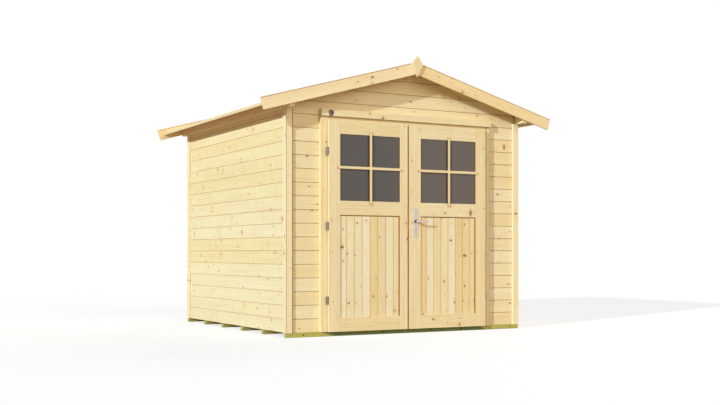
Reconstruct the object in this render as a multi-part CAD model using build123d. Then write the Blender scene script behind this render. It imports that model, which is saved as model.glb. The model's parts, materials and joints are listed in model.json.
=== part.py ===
from build123d import *
import math
import os

# Wooden garden shed with a low gable roof and a glazed double door.
# Front towards -Y, +Z up, origin on the ground under the middle of the shed.
# All sizes in millimetres.

# Floor plan, over the faces of the corner posts
shed_width = 2420.0
shed_depth = 2420.0

# Ground joists, which run from side to side
joist_height = 38.0
joist_width = 38.0
joist_count = 6
joist_end_inset = 5.0

# Floor boards
floor_thickness = 18.0

# Corner posts and the boards that slot into them
post_size = 62.0
post_proud = 17.0
post_groove_depth = 12.0
wall_thickness = 19.0
wall_over_frame = 52.0
board_cover = 115.5
board_joint_width = 6.0
board_joint_depth = 3.5

# Roof
roof_pitch = 15.5
deck_thickness = 19.0
eave_overhang = 187.0
eave_batten_thickness = 20.0
eave_batten_height = 24.0
eave_purlin_width = 48.0
eave_purlin_height = 64.0
eave_purlin_proud = 14.0
ridge_purlin_width = 50.0
ridge_purlin_depth = 98.0
barge_width = 104.0
barge_thickness = 18.0
barge_rise = 39.0
barge_overhang = 278.0
gable_overhang = 125.0
apex_board_half_width = 58.0
apex_board_point_above = 53.0
apex_board_shoulder_below = 20.0
apex_board_height = 186.0
apex_board_thickness = 18.0

# Door frame
door_offset = -12.0
frame_width = 1755.0
frame_height = 1838.0
frame_proud = 30.0
frame_depth = 60.0
jamb_width = 80.0
head_height = 46.0
sill_height = 30.0
drip_board_height = 60.0
drip_board_proud = 49.0

# Door leaves
leaf_thickness = 21.0
leaf_standoff = 5.0
leaf_gap = 12.0
head_reveal = 31.0
jamb_reveal = 64.5
hinge_stile_width = 110.0
left_meeting_stile_width = 80.0
right_meeting_stile_width = 124.0
bottom_rail_height = 121.0
middle_rail_bottom = 998.0
middle_rail_height = 122.0
top_rail_height = 116.0
rebate_width = 10.0
rebate_lip = 8.0
glass_thickness = 4.0
panel_thickness = 10.0
panel_board_cover = 78.0
panel_joint_width = 5.0
panel_joint_depth = 3.0

# Glazing bars, planted over the rails and stiles
bar_width = 22.0
bar_proud = 8.0
bar_lap_rails = 31.0
bar_lap_left = 31.0
bar_lap_right = 18.0

# Butt hinges
knuckle_radius = 7.0
knuckle_length = 70.0
knuckle_part_gap = 0.5
hinge_pin_radius = 3.0
hinge_pin_clearance = 0.3
hinge_plate_thickness = 2.0
hinge_plate_clearance = 0.5
hinge_flap_width = 28.0
hinge_heights = (269.0, 903.0, 1540.0)

# Lever handle
handle_inset = 70.0
handle_height = 953.0
plate_height = 257.0
plate_width = 43.0
plate_thickness = 3.0
plate_centre_drop = 14.0
spindle_radius = 4.0
spindle_clearance = 2.0
lever_neck_radius = 9.0
lever_reach = 45.0
lever_length = 104.0
lever_grip_height = 17.0
lever_grip_thickness = 12.0

# Levels and planes worked out from the sizes above
half_width = shed_width / 2
half_depth = shed_depth / 2
wall_base = joist_height
wall_top = wall_base + frame_height + wall_over_frame
pitch = math.radians(roof_pitch)
slope = math.tan(pitch)

wall_outer_x = half_width - post_proud
wall_inner_x = wall_outer_x - wall_thickness
wall_outer_y = half_depth - post_proud
wall_inner_y = wall_outer_y - wall_thickness
post_inner_x = half_width - post_size
post_inner_y = half_depth - post_size
groove_end_x = post_inner_x + post_groove_depth
groove_end_y = post_inner_y + post_groove_depth

purlin_outer_x = half_width + eave_purlin_proud
purlin_inner_x = purlin_outer_x - eave_purlin_width
ridge_underside = wall_top + eave_purlin_height + purlin_outer_x * slope
deck_rise = deck_thickness / math.cos(pitch)
barge_apex = ridge_underside + deck_rise + barge_rise
barge_outer_y = half_depth + gable_overhang
barge_inner_y = barge_outer_y - barge_thickness
ridge_purlin_bottom = ridge_underside - ridge_purlin_depth

frame_front = -(wall_outer_y + frame_proud)
frame_back = frame_front + frame_depth
frame_top = wall_base + frame_height
frame_left = door_offset - frame_width / 2
frame_right = door_offset + frame_width / 2

leaf_back = frame_front - leaf_standoff
leaf_front = leaf_back - leaf_thickness
leaf_middle = (leaf_back + leaf_front) / 2
left_leaf_left = frame_left + jamb_reveal
right_leaf_right = frame_right - jamb_reveal
stiles_width = 2 * hinge_stile_width + left_meeting_stile_width + right_meeting_stile_width
light_width = (right_leaf_right - left_leaf_left - leaf_gap - stiles_width) / 2
left_leaf_right = left_leaf_left + hinge_stile_width + light_width + left_meeting_stile_width
right_leaf_left = left_leaf_right + leaf_gap
leaf_bottom = wall_base
leaf_top = frame_top - head_reveal

knuckle_offset = hinge_plate_thickness + hinge_plate_clearance + knuckle_radius
handle_x = right_leaf_left + handle_inset
handle_z = leaf_bottom + handle_height


def underside(x):
    """Height of the roof deck's underside at a distance from the middle."""
    return ridge_underside - abs(x) * slope


def block(x0, x1, y0, y1, z0, z1):
    """Plain timber between two corners."""
    solid = Box(x1 - x0, y1 - y0, z1 - z0, align=(Align.MIN, Align.MIN, Align.MIN))
    return Pos(x0, y0, z0) * solid


def prism_y(points, y0, y1):
    """Outline of (x, z) points, run from y0 to y1."""
    face = Plane.XZ * Polygon(*points, align=None)
    return Pos(0, y0, 0) * extrude(face, amount=y1 - y0, dir=(0, 1, 0))


def prism_x(points, x0, x1):
    """Outline of (y, z) points, run from x0 to x1."""
    face = Plane.YZ * Polygon(*points, align=None)
    return Pos(x0, 0, 0) * extrude(face, amount=x1 - x0, dir=(1, 0, 0))


def prism_z(points, z0, z1):
    """Outline of (x, y) points, run from z0 to z1."""
    face = Polygon(*points, align=None)
    return Pos(0, 0, z0) * extrude(face, amount=z1 - z0, dir=(0, 0, 1))


def joints_between(low, high, cover, start, joint_width):
    """Places of the joints between boards that lie well inside a stretch."""
    places = []
    number = math.ceil((low - start) / cover)
    while start + number * cover < high:
        place = start + number * cover
        if low + joint_width < place < high - joint_width:
            places.append(place)
        number += 1
    return places


def boarded_profile(low, high, face, back, places, joint_width, joint_depth):
    """Section of a row of boards, with a V joint at each place on its face."""
    inward = math.copysign(joint_depth, back - face)
    points = [(face, low)]
    for place in places:
        points.append((face, place - joint_width / 2))
        points.append((face + inward, place))
        points.append((face, place + joint_width / 2))
    points.append((face, high))
    points.append((back, high))
    points.append((back, low))
    return points


def wall_profile(low, high, face, back):
    """Section of a wall of level boards between two heights."""
    places = joints_between(low, high, board_cover, wall_base, board_joint_width)
    return boarded_profile(low, high, face, back, places, board_joint_width, board_joint_depth)


def save(name, *solids):
    """Write one sub-part, of one solid or of several that do not touch."""
    pieces = []
    for solid in solids:
        pieces.extend(solid.solids())
    export_step(Compound(pieces), os.path.join("parts", name + ".step"))


def make_base():
    """Joists on the ground and the floor on top of them."""
    pitch_y = (shed_depth - joist_width) / (joist_count - 1)
    joists = []
    for number in range(joist_count):
        y0 = -half_depth + number * pitch_y
        reach = half_width - joist_end_inset
        joists.append(block(-reach, reach, y0, y0 + joist_width, 0, joist_height))
    save("joists", *joists)

    floor_top = wall_base + floor_thickness
    floor = block(-wall_inner_x, wall_inner_x, -wall_inner_y, wall_inner_y, wall_base, floor_top)
    for side_x in (-1, 1):
        for side_y in (-1, 1):
            x0, x1 = sorted((side_x * post_inner_x, side_x * half_width))
            y0, y1 = sorted((side_y * post_inner_y, side_y * half_depth))
            floor -= block(x0, x1, y0, y1, wall_base, floor_top)
    floor -= block(frame_left, frame_right, frame_front, frame_back, wall_base, floor_top)
    save("floor", floor)


def corner_post(side_x, side_y):
    """Square post with a groove for the boards of each wall that it ends."""
    x0, x1 = sorted((side_x * post_inner_x, side_x * half_width))
    y0, y1 = sorted((side_y * post_inner_y, side_y * half_depth))
    post = block(x0, x1, y0, y1, wall_base, wall_top)
    gx0, gx1 = sorted((side_x * wall_inner_x, side_x * wall_outer_x))
    gy0, gy1 = sorted((side_y * post_inner_y, side_y * groove_end_y))
    post -= block(gx0, gx1, gy0, gy1, wall_base, wall_top)
    gx0, gx1 = sorted((side_x * post_inner_x, side_x * groove_end_x))
    gy0, gy1 = sorted((side_y * wall_inner_y, side_y * wall_outer_y))
    post -= block(gx0, gx1, gy0, gy1, wall_base, wall_top)
    return post


def make_posts():
    """The four corner posts."""
    for name_y, side_y in (("front", -1), ("back", 1)):
        for name_x, side_x in (("left", -1), ("right", 1)):
            save("post_" + name_y + "_" + name_x, corner_post(side_x, side_y))


def gable(side_y):
    """Boards above the eaves, cut to the roof and notched for the ridge purlin."""
    face = side_y * wall_outer_y
    back = side_y * wall_inner_y
    half_ridge = ridge_purlin_width / 2
    boards = prism_x(wall_profile(wall_top, ridge_underside, face, back), -purlin_inner_x, purlin_inner_x)
    outline = [
        (-purlin_inner_x, wall_top),
        (purlin_inner_x, wall_top),
        (purlin_inner_x, underside(purlin_inner_x)),
        (half_ridge, underside(half_ridge)),
        (half_ridge, ridge_purlin_bottom),
        (-half_ridge, ridge_purlin_bottom),
        (-half_ridge, underside(half_ridge)),
        (-purlin_inner_x, underside(purlin_inner_x)),
    ]
    y0, y1 = sorted((face, back))
    return boards & prism_y(outline, y0, y1)


def make_walls():
    """Boarded walls, split beside and over the doorway, and the two gables."""
    for name, side in (("left_wall", -1), ("right_wall", 1)):
        section = wall_profile(wall_base, wall_top, side * wall_outer_x, side * wall_inner_x)
        save(name, prism_y(section, -groove_end_y, groove_end_y))

    section = wall_profile(wall_base, wall_top, wall_outer_y, wall_inner_y)
    save("back_wall", prism_x(section, -groove_end_x, groove_end_x))

    section = wall_profile(wall_base, wall_top, -wall_outer_y, -wall_inner_y)
    save("front_wall_left", prism_x(section, -groove_end_x, frame_left))
    save("front_wall_right", prism_x(section, frame_right, groove_end_x))

    section = wall_profile(frame_top, wall_top, -wall_outer_y, -wall_inner_y)
    save("front_wall_over_door", prism_x(section, frame_left, frame_right))
    save("front_gable", gable(-1))
    save("back_gable", gable(1))


def make_door_frame():
    """Jambs, head and sill that pass through the wall, and the drip board over them."""
    left_jamb = block(frame_left, frame_left + jamb_width, frame_front, frame_back, wall_base, frame_top)
    right_jamb = block(frame_right - jamb_width, frame_right, frame_front, frame_back, wall_base, frame_top)
    save("door_jambs", left_jamb, right_jamb)
    x0 = frame_left + jamb_width
    x1 = frame_right - jamb_width
    save("door_head", block(x0, x1, frame_front, frame_back, frame_top - head_height, frame_top))
    save("door_sill", block(x0, x1, frame_front, frame_back, wall_base, wall_base + sill_height))
    drip_front = -(wall_outer_y + drip_board_proud)
    drip_top = frame_top + drip_board_height
    save("door_drip_board", block(frame_left, frame_right, drip_front, -wall_outer_y, frame_top, drip_top))


def slope_outline(side, top_at_middle, depth, reach):
    """Sloping board from a plumb cut at the ridge to a square-cut lower end.

    reach is the distance of the lower end's upper corner from the middle."""
    end_x = reach - depth * math.sin(pitch)
    end_z = top_at_middle - reach * slope - depth * math.cos(pitch)
    return [
        (0, top_at_middle),
        (side * reach, top_at_middle - reach * slope),
        (side * end_x, end_z),
        (0, top_at_middle - depth / math.cos(pitch)),
    ]


def make_roof():
    """Purlins, boarded decks, eave battens, barge boards and apex boards."""
    half_ridge = ridge_purlin_width / 2
    ridge_outline = [
        (-half_ridge, ridge_purlin_bottom),
        (half_ridge, ridge_purlin_bottom),
        (half_ridge, underside(half_ridge)),
        (0, ridge_underside),
        (-half_ridge, underside(half_ridge)),
    ]
    save("ridge_purlin", prism_y(ridge_outline, -half_depth, half_depth))

    purlins = []
    battens = []
    deck_top = ridge_underside + deck_rise
    deck_reach = half_width + eave_overhang + deck_thickness * math.sin(pitch)
    for name, side in (("left", -1), ("right", 1)):
        purlin_outline = [
            (side * purlin_inner_x, wall_top),
            (side * purlin_outer_x, wall_top),
            (side * purlin_outer_x, underside(purlin_outer_x)),
            (side * purlin_inner_x, underside(purlin_inner_x)),
        ]
        purlins.append(prism_y(purlin_outline, -barge_inner_y, barge_inner_y))

        deck_outline = slope_outline(side, deck_top, deck_thickness, deck_reach)
        save("roof_" + name, prism_y(deck_outline, -barge_inner_y, barge_inner_y))

        along_x = eave_batten_thickness * math.cos(pitch)
        along_z = eave_batten_thickness * math.sin(pitch)
        down_x = eave_batten_height * math.sin(pitch)
        down_z = eave_batten_height * math.cos(pitch)
        top_z = deck_top - deck_reach * slope
        batten_outline = [
            (side * deck_reach, top_z),
            (side * (deck_reach + along_x), top_z - along_z),
            (side * (deck_reach + along_x - down_x), top_z - along_z - down_z),
            (side * (deck_reach - down_x), top_z - down_z),
        ]
        battens.append(prism_y(batten_outline, -barge_inner_y, barge_inner_y))

        barge_outline = slope_outline(side, barge_apex, barge_width, half_width + barge_overhang)
        front_barge = prism_y(barge_outline, -barge_outer_y, -barge_inner_y)
        back_barge = prism_y(barge_outline, barge_inner_y, barge_outer_y)
        save("barge_boards_" + name, front_barge, back_barge)
    save("eave_purlins", *purlins)
    save("eave_battens", *battens)

    point_z = barge_apex + apex_board_point_above
    apex_outline = [
        (0, point_z),
        (apex_board_half_width, barge_apex - apex_board_shoulder_below),
        (0, point_z - apex_board_height),
        (-apex_board_half_width, barge_apex - apex_board_shoulder_below),
    ]
    apex_face = barge_outer_y + apex_board_thickness
    save(
        "apex_boards",
        prism_y(apex_outline, -apex_face, -barge_outer_y),
        prism_y(apex_outline, barge_outer_y, apex_face),
    )


def make_frame_hinges():
    """Outer knuckles, pin and flap of each hinge, on the face of the door frame."""
    for name, edge, side in (("left", left_leaf_left, -1), ("right", right_leaf_right, 1)):
        hinges = [frame_hinge(edge, side, leaf_bottom + height) for height in hinge_heights]
        save("frame_hinges_" + name, *hinges)


def frame_hinge(edge, side, centre_z):
    """One hinge half on the frame; side points from the leaf to the jamb."""
    pin_x = edge + side * knuckle_offset
    third = knuckle_length / 3
    low = centre_z - knuckle_length / 2
    barrel = Pos(pin_x, leaf_middle, centre_z) * Cylinder(knuckle_radius, knuckle_length)
    web_x0, web_x1 = sorted((
        pin_x + side * (knuckle_radius - hinge_plate_thickness),
        pin_x + side * knuckle_radius,
    ))
    web = block(web_x0, web_x1, leaf_middle, frame_front, low, low + knuckle_length)
    gap = block(
        pin_x - 2 * knuckle_radius, pin_x + 2 * knuckle_radius,
        leaf_middle - 2 * knuckle_radius, frame_front - hinge_plate_thickness,
        low + third - knuckle_part_gap, low + 2 * third + knuckle_part_gap,
    )
    flap_x0, flap_x1 = sorted((pin_x + side * knuckle_radius, pin_x - side * hinge_flap_width))
    flap = block(flap_x0, flap_x1, frame_front - hinge_plate_thickness, frame_front, low, low + knuckle_length)
    pin = Pos(pin_x, leaf_middle, centre_z) * Cylinder(hinge_pin_radius, knuckle_length)
    return barrel + web - gap + flap + pin


def leaf_hinge(edge, side, centre_z):
    """Middle knuckle and the plate that is let on to the leaf's edge."""
    pin_x = edge + side * knuckle_offset
    third = knuckle_length / 3
    low = centre_z - third / 2
    knuckle = Pos(pin_x, leaf_middle, centre_z) * Cylinder(knuckle_radius, third)
    neck_x0, neck_x1 = sorted((edge, pin_x))
    neck = block(
        neck_x0, neck_x1,
        leaf_middle - knuckle_radius, leaf_middle - knuckle_radius + hinge_plate_thickness,
        low, low + third,
    )
    bore = Pos(pin_x, leaf_middle, centre_z) * Cylinder(hinge_pin_radius + hinge_pin_clearance, 2 * third)
    plate_x0, plate_x1 = sorted((edge, edge + side * hinge_plate_thickness))
    plate = block(
        plate_x0, plate_x1, leaf_front, leaf_back,
        centre_z - knuckle_length / 2, centre_z + knuckle_length / 2,
    )
    return knuckle + neck - bore + plate


def stile(x0, x1, opening_side, rail_zones):
    """Upright of a leaf, rebated behind beside the glass and the boarded panel."""
    upright = block(x0, x1, leaf_front, leaf_back, leaf_bottom, leaf_top)
    edge = x1 if opening_side > 0 else x0
    rx0, rx1 = sorted((edge, edge - opening_side * rebate_width))
    for z0, z1 in rail_zones:
        upright -= block(
            rx0, rx1, leaf_front + rebate_lip, leaf_back,
            z0 - rebate_width, z1 + rebate_width,
        )
    return upright


def make_leaf(name, left, right, left_stile, right_stile):
    """Framed leaf: stiles, rails, boarded panel, glass and glazing bars."""
    x0 = left + left_stile
    x1 = right - right_stile
    panel_z0 = leaf_bottom + bottom_rail_height
    panel_z1 = leaf_bottom + middle_rail_bottom
    glass_z0 = panel_z1 + middle_rail_height
    glass_z1 = leaf_top - top_rail_height
    zones = ((panel_z0, panel_z1), (glass_z0, glass_z1))
    rebate_front = leaf_front + rebate_lip

    left_upright = stile(left, x0, 1, zones)
    right_upright = stile(x1, right, -1, zones)
    if name == "right":
        spindle_hole = Rot(90, 0, 0) * Cylinder(spindle_radius + spindle_clearance, 2 * leaf_thickness)
        left_upright -= Pos(handle_x, leaf_middle, handle_z) * spindle_hole
    save(name + "_leaf_stiles", left_upright, right_upright)

    rails = [
        block(x0, x1, leaf_front, leaf_back, leaf_bottom, panel_z0),
        block(x0, x1, leaf_front, leaf_back, panel_z1, glass_z0),
        block(x0, x1, leaf_front, leaf_back, glass_z1, leaf_top),
    ]
    rebates = [
        block(x0, x1, rebate_front, leaf_back, z0 - rebate_width, z1 + rebate_width)
        for z0, z1 in zones
    ]
    for number, rail in enumerate(rails):
        for rebate in rebates:
            rail = rail - rebate
        rails[number] = rail
    save(name + "_leaf_rails", *rails)

    px0 = x0 - rebate_width
    px1 = x1 + rebate_width
    middle = (x0 + x1) / 2
    places = joints_between(x0, x1, panel_board_cover, middle, panel_joint_width)
    section = boarded_profile(
        px0, px1, rebate_front, rebate_front + panel_thickness,
        places, panel_joint_width, panel_joint_depth,
    )
    outline = [(x, y) for y, x in section]
    save(name + "_leaf_panel", prism_z(outline, panel_z0 - rebate_width, panel_z1 + rebate_width))

    glass_back = rebate_front + glass_thickness
    save(
        name + "_leaf_glass",
        block(px0, px1, rebate_front, glass_back, glass_z0 - rebate_width, glass_z1 + rebate_width),
    )
    save(name + "_leaf_bars", glazing_bars(x0, x1, glass_z0, glass_z1))


def glazing_bars(x0, x1, z0, z1):
    """Crossed bars, planted on the leaf's face and let down to the glass."""
    middle_x = (x0 + x1) / 2
    middle_z = (z0 + z1) / 2
    half = bar_width / 2
    face = leaf_front - bar_proud
    glass_face = leaf_front + rebate_lip
    bars = block(middle_x - half, middle_x + half, face, leaf_front, z0 - bar_lap_rails, z1 + bar_lap_rails)
    bars += block(x0 - bar_lap_left, x1 + bar_lap_right, face, leaf_front, middle_z - half, middle_z + half)
    bars += block(middle_x - half, middle_x + half, leaf_front, glass_face, z0, z1)
    bars += block(x0, x1, leaf_front, glass_face, middle_z - half, middle_z + half)
    return bars


def make_leaves():
    """Both leaves with their hinge halves."""
    make_leaf("left", left_leaf_left, left_leaf_right, hinge_stile_width, left_meeting_stile_width)
    make_leaf("right", right_leaf_left, right_leaf_right, right_meeting_stile_width, hinge_stile_width)
    for name, edge, side in (("left", left_leaf_left, -1), ("right", right_leaf_right, 1)):
        hinges = [leaf_hinge(edge, side, leaf_bottom + height) for height in hinge_heights]
        save(name + "_leaf_hinges", *hinges)


def handle_plate(back_y, outward):
    """Long rounded plate on one face of the leaf, with a hole for the lever's neck."""
    outline = SlotOverall(plate_height, plate_width, rotation=90)
    outline -= Pos(0, plate_centre_drop) * Circle(lever_neck_radius + spindle_clearance)
    plate = extrude(Plane.XZ * outline, amount=plate_thickness, dir=(0, outward, 0))
    return Pos(handle_x, back_y, handle_z - plate_centre_drop) * plate


def lever(face_y, outward):
    """Neck and grip of one lever; outward is -1 outside and 1 inside."""
    end_y = face_y + outward * lever_reach
    neck_length = lever_reach - lever_grip_thickness / 2
    neck_y = face_y + outward * neck_length / 2
    neck = Pos(handle_x, neck_y, handle_z) * Rot(90, 0, 0) * Cylinder(lever_neck_radius, neck_length)
    outline = SlotOverall(lever_length + lever_grip_height, lever_grip_height)
    grip = extrude(Plane.XZ * outline, amount=lever_grip_thickness, dir=(0, -outward, 0))
    grip = fillet(grip.edges(), lever_grip_thickness / 4)
    grip = Pos(handle_x + lever_length / 2, end_y, handle_z) * grip
    return neck + grip


def make_handle():
    """Plates fixed to the right leaf, and the levers that turn on one spindle."""
    save("handle_plates", handle_plate(leaf_front, -1), handle_plate(leaf_back, 1))
    save("lever_outer", lever(leaf_front, -1))
    save("lever_inner", lever(leaf_back, 1))
    spindle = Rot(90, 0, 0) * Cylinder(spindle_radius, leaf_thickness)
    save("lever_spindle", Pos(handle_x, leaf_middle, handle_z) * spindle)


os.makedirs("parts", exist_ok=True)
make_base()
make_posts()
make_walls()
make_door_frame()
make_roof()
make_frame_hinges()
make_leaves()
make_handle()
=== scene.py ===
import json
import math
import random

import bmesh
import bpy
from mathutils import Matrix, Vector


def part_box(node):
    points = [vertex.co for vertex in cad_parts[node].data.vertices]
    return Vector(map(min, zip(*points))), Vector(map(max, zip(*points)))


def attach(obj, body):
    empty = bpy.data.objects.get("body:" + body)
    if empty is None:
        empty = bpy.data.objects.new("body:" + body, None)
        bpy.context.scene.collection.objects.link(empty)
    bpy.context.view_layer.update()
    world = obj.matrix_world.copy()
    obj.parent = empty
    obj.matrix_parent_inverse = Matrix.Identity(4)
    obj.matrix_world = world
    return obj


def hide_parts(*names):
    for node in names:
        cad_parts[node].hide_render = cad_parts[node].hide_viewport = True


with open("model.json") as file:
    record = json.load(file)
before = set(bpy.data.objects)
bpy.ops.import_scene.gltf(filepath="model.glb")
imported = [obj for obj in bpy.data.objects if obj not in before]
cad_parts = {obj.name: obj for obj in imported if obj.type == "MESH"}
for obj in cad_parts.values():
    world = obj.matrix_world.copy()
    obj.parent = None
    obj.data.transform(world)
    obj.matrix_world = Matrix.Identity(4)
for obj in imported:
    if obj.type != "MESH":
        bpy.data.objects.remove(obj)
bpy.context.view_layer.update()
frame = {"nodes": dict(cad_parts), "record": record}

# Wooden garden shed: level boards between corner posts, a low boarded roof and a
# glazed double door. Front towards -Y, +Z up, all sizes in metres.

SCENE = bpy.context.scene
BODIES = frame["record"]["behaviour"]["bodies"]

# Directions
RIGHT = Vector((1, 0, 0))
BACK = Vector((0, 1, 0))
UP = Vector((0, 0, 1))
ROOF_PITCH = math.radians(15.5)
SLOPE_RIGHT = Vector((math.cos(ROOF_PITCH), 0, -math.sin(ROOF_PITCH)))
SLOPE_LEFT = Vector((-math.cos(ROOF_PITCH), 0, -math.sin(ROOF_PITCH)))

# Camera, as the photograph's vanishing points give it, and half the floor's width
CAMERA_PLACE = (-4.889, -9.155, 0.7124)
CAMERA_AZIMUTH = -28.91
CAMERA_LENS = 52.35
CAMERA_SHIFT = 0.0699
FLOOR_HALF = 60.0

# Lamps: name, direction of the light, strength, angle in degrees, colour, whether gloss shows it
LAMPS = (
    ("sun", (2.5, 1.0, -0.93), 2.95, 1.5, (0.90, 1.0, 0.97), True),
    ("front_light", (-0.2, 1.0, -0.45), 1.30, 50.0, (1.0, 0.91, 0.76), False),
    ("back_light", (-1.0, -0.8, -0.75), 1.50, 50.0, (1.0, 0.96, 0.90), False),
)

# Boards, with the sizes of the built part
BOARD_COVER = 0.1155
ROOF_BOARD_COVER = 0.0878
FLOOR_BOARD_COVER = 0.1148
PANEL_BOARD_COVER = 0.078
BOARD_THICKNESS = 0.019
WALL_JOINT_WIDTH = 0.006
WALL_JOINT_DEPTH = 0.0035
INNER_JOINT_DEPTH = 0.001
INNER_JOINT_TONE = 0.3
PANEL_JOINT_WIDTH = 0.005
PANEL_JOINT_DEPTH = 0.003
FLOOR_JOINT_WIDTH = 0.002
FLOOR_JOINT_DEPTH = 0.001

# Share of a board's cover, out from its middle, past which its points belong to a joint
JOINT_SHARE = 0.33

# Apex of a roof that cuts nothing
NO_ROOF = 50.0

# Share of a board too small to lay, and how far whole boards may pass the ridge purlin's underside
SPARE_BOARD = 0.001
PURLIN_SLACK = 0.004

# Step from the seed of a row's tones to the seed of its shifts
SECOND_SEED = 71.0

# Eased arrises: WELD joins points, FLAT_ANGLE drops flat edges and ARRIS_ANGLE picks the arrises
WELD = 0.00002
FLAT_ANGLE = 0.005
ARRIS_ANGLE = math.radians(30)
EASE = 0.0015
BARGE_EASE = 0.0020
POST_EASE = 0.0025
JOIST_EASE = 0.0030

# Knots scattered in the timber
KNOT_WARP = 0.010
KNOT_WARP_SCALE = 85.0
SPIKE_CHANCE = 0.72
SPIKE_WIDTH = 0.32
SMEAR_COLOUR = (0.80, 0.53, 0.29, 1)
BARK_COLOUR = (0.09, 0.035, 0.018, 1)

# Dark lines along the top of the barge boards, and painted shade along the bottom of the drip board
BARGE_LINE = 0.009
DRIP_LINE = 0.0025
LINE_BLUR = 0.001

# Faces of the leaves and glazing bars that look left get painted shade where they are to the right of this
# place in X
LEAF_EDGE = -0.80

# Painted shadow of the leaves on the front joist, its edge slanting like the sun's shadow
SHADOW_EDGE_LEAN = 2.7
SHADOW_EDGE_BLUR = 0.02
DOOR_SHADOW_TINT = (0.375, 0.53, 0.575, 1)

# Strips of painted shade, as thin beads, beside the bars, the panes, the panels, the door frame and the
# front left post
BEAD_PROUD = 0.0008
REBATE = 0.010
BAR_HALF_WIDTH = 0.011
BAR_BEAD = 0.013
PANE_BEAD = 0.007
PANEL_BEAD = 0.011
PANEL_TOP_BEAD = 0.008
FRAME_BEAD = 0.010
FRAME_BEAD_INSET = 0.014
JAMB_BEAD = 0.014
JAMB_BEAD_INSET = 0.015
POST_BEAD = 0.006
POST_BEAD_INSET = 0.007

# Large knot in the drip board
KNOT_RADIUS = 0.0285
KNOT_DOME = 0.0025
KNOT_SUNK_RIM = 0.001
KNOT_RINGS = 8
KNOT_TURNS = 48
KNOT_MIDDLE = Vector((-0.798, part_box("door_drip_board")[0].y, 1.9045))

# Handle plates; the collar's profile gives radius and height
PLATE_THICKNESS = 0.003
PLATE_EDGE = 0.0007
PLATE_SCREW_INSET = 0.012
SPINDLE_HOLE_RADIUS = 0.0115
KEYHOLE_DROP = 0.072
KEYHOLE_RADIUS = 0.0046
KEYHOLE_SLOT_HALF = 0.0022
KEYHOLE_LENGTH = 0.015
KEYHOLE_SPREAD = (1.15, 1.1)
KEYHOLE_SHEET = 0.0001
KEYHOLE_CLEARANCE = 0.0002
PLATE_END_STEPS = 20
KEYHOLE_STEPS = 16
HOLE_TURNS = 24
COLLAR_TURNS = 40
COLLAR_PROFILE = (
    (0.0150, -0.0005), (0.0150, 0.0012), (0.0138, 0.0026),
    (0.0118, 0.0030), (0.0112, 0.0022), (0.0112, -0.0005))

# Lever; the rows are run, distance from the leaf, half height, half thickness
LEVER_SQUARENESS = 0.85
LEVER_STEPS = 4
LEVER_TURNS = 24
LEVER_ROWS = (
    (0.0000, 0.0005, 0.0088, 0.0088),
    (0.0000, 0.0180, 0.0082, 0.0082),
    (0.0004, 0.0280, 0.0080, 0.0078),
    (0.0035, 0.0355, 0.0080, 0.0070),
    (0.0110, 0.0395, 0.0081, 0.0058),
    (0.0250, 0.0402, 0.0082, 0.0050),
    (0.0600, 0.0398, 0.0080, 0.0046),
    (0.0900, 0.0388, 0.0083, 0.0044),
    (0.1060, 0.0378, 0.0080, 0.0040),
    (0.1110, 0.0373, 0.0066, 0.0030),
    (0.1128, 0.0371, 0.0035, 0.0015),
)

# Screw heads: sides, share of the radius at the top, and the dark six-sided sheet of painted shade in each,
# standing for the recess
HEAD_SIDES = 18
HEAD_TOP_SHARE = 0.8
RECESS_SIDES = 6
RECESS_SHARE = 0.42
RECESS_SHEET = 0.0004

# Screws and pins; joist screws are the first one's place in X and the step to the next
JOIST_SCREWS = ((-1.11, 0.55), (-0.23, 0.50), (0.715, 0.33))
JOIST_SCREW_RADIUS = 0.007
PIN_INSET = 0.007
PIN_RADIUS = 0.0042
HINGE_LEVELS = (0.307, 0.941, 1.578)
HINGE_SCREW_REACH = 0.022
FLAP_THICKNESS = 0.002
FLAP_SCREW_INSET = 0.025
FLAP_SCREW_RADIUS = 0.0035
PLATE_SCREW_RADIUS = 0.0038


def slope_up(side):
    """Direction square to a roof slope, pointing up."""
    return (side * math.sin(ROOF_PITCH), 0, math.cos(ROOF_PITCH))


def slope_under(side):
    """Direction square to a roof slope, pointing down."""
    return tuple(-part for part in slope_up(side))


def corners(node):
    """Lowest and highest corner of a node as vectors."""
    low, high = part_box(node)
    return Vector(low), Vector(high)


# Nodes and links

class Value:
    """Output of a node; a sum with it adds a Math node to its tree."""

    def __init__(self, socket):
        self.socket = socket
        self.tree = socket.id_data

    def __add__(self, other):
        return sums("ADD", self, other)

    def __sub__(self, other):
        return sums("SUBTRACT", self, other)

    def __rsub__(self, other):
        return sums("SUBTRACT", other, self)

    def __mul__(self, other):
        return sums("MULTIPLY", self, other)

    def __truediv__(self, other):
        return sums("DIVIDE", self, other)


class Outputs:
    """Outputs of a node as values, by name or by number."""

    def __init__(self, node):
        self.node = node

    def __getitem__(self, key):
        return Value(self.node.outputs[key])


def feed(value, socket):
    """Join a value to an input, or set the input to plain numbers."""
    if isinstance(value, Value):
        value.tree.links.new(value.socket, socket)
    else:
        socket.default_value = value


def add(tree, kind, inputs=None, **settings):
    """Add a node with its settings and inputs, and give its outputs."""
    node = tree.nodes.new(kind)
    for name, value in settings.items():
        setattr(node, name, value)
    for key, value in (inputs or {}).items():
        feed(value, node.inputs[key])
    return Outputs(node)


def add_beside(kind, values, **settings):
    """Add a node whose first inputs are the values, in the tree that they belong to."""
    tree = next(value.tree for value in values if isinstance(value, Value))
    return add(tree, kind, dict(enumerate(values)), **settings)


def sums(operation, *values):
    """Result of a sum on numbers."""
    return add_beside("ShaderNodeMath", values, operation=operation)[0]


def vectors(operation, *values):
    """Result of a sum on vectors; Dot Product and Length give a number."""
    single = operation in ("DOT_PRODUCT", "LENGTH")
    return add_beside("ShaderNodeVectorMath", values, operation=operation)["Value" if single else "Vector"]


def place(*parts):
    """Vector from three numbers."""
    return add_beside("ShaderNodeCombineXYZ", parts)[0]


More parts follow.
